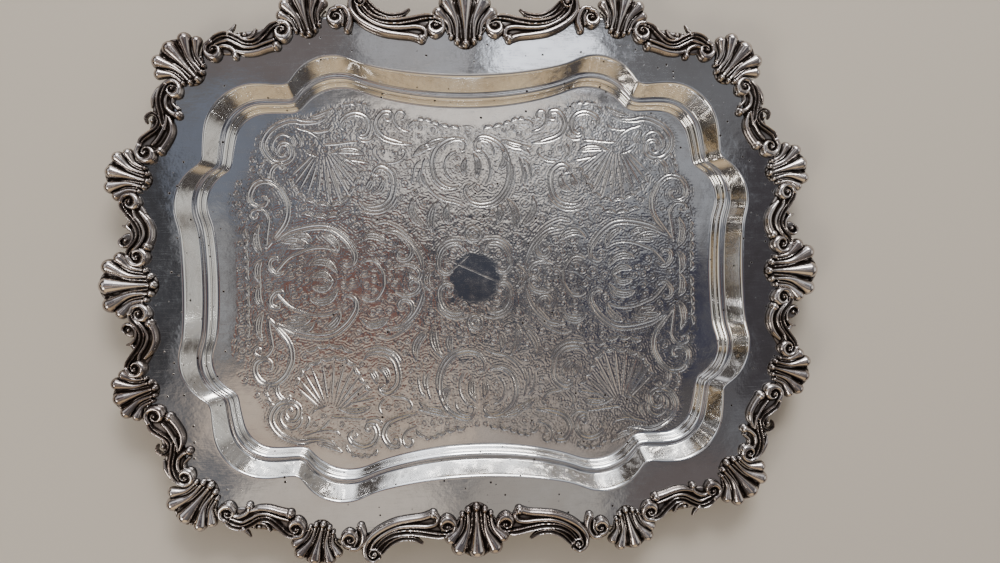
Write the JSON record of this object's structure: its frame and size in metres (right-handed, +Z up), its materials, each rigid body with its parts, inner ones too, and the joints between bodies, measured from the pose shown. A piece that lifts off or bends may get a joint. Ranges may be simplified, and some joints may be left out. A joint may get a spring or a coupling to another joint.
{
  "type": "serving tray",
  "caption": "Oblong silver-plated serving tray with a lobed, stepped well, an engraved floor and a border of cast shells and scrolls on a flat rim",
  "frame": {"origin": "on the table under the middle of the well", "axes": "+Z up, +X along the length, +Y across the width towards the back"},
  "size_m": [0.483, 0.381, 0.029],
  "materials": {
    "polished_silver": "polished",
    "cast_silver": "polished, with dark tarnish in the recesses"
  },
  "bodies": {
    "root": {"tray_body": "polished_silver", "shell_front": "cast_silver", "shell_back": "cast_silver", "shell_left": "cast_silver", "shell_right": "cast_silver", "shell_long_front_left": "cast_silver", "shell_long_front_right": "cast_silver", "shell_long_back_left": "cast_silver", "shell_long_back_right": "cast_silver", "shell_corner_front_left": "cast_silver", "shell_corner_front_right": "cast_silver", "shell_corner_back_left": "cast_silver", "shell_corner_back_right": "cast_silver", "shell_end_front_left": "cast_silver", "shell_end_front_right": "cast_silver", "shell_end_back_left": "cast_silver", "shell_end_back_right": "cast_silver", "scroll_leaf_front_left": "cast_silver", "scroll_leaf_front_right": "cast_silver", "scroll_leaf_back_left": "cast_silver", "scroll_leaf_back_right": "cast_silver", "scroll_link_front_left": "cast_silver", "scroll_link_front_right": "cast_silver", "scroll_link_back_left": "cast_silver", "scroll_link_back_right": "cast_silver", "scroll_long_front_left": "cast_silver", "scroll_long_front_right": "cast_silver", "scroll_long_back_left": "cast_silver", "scroll_long_back_right": "cast_silver", "scroll_corner_front_left": "cast_silver", "scroll_corner_front_right": "cast_silver", "scroll_corner_back_left": "cast_silver", "scroll_corner_back_right": "cast_silver", "scroll_end_front_left": "cast_silver", "scroll_end_front_right": "cast_silver", "scroll_end_back_left": "cast_silver", "scroll_end_back_right": "cast_silver"}
  },
  "joints": []
}
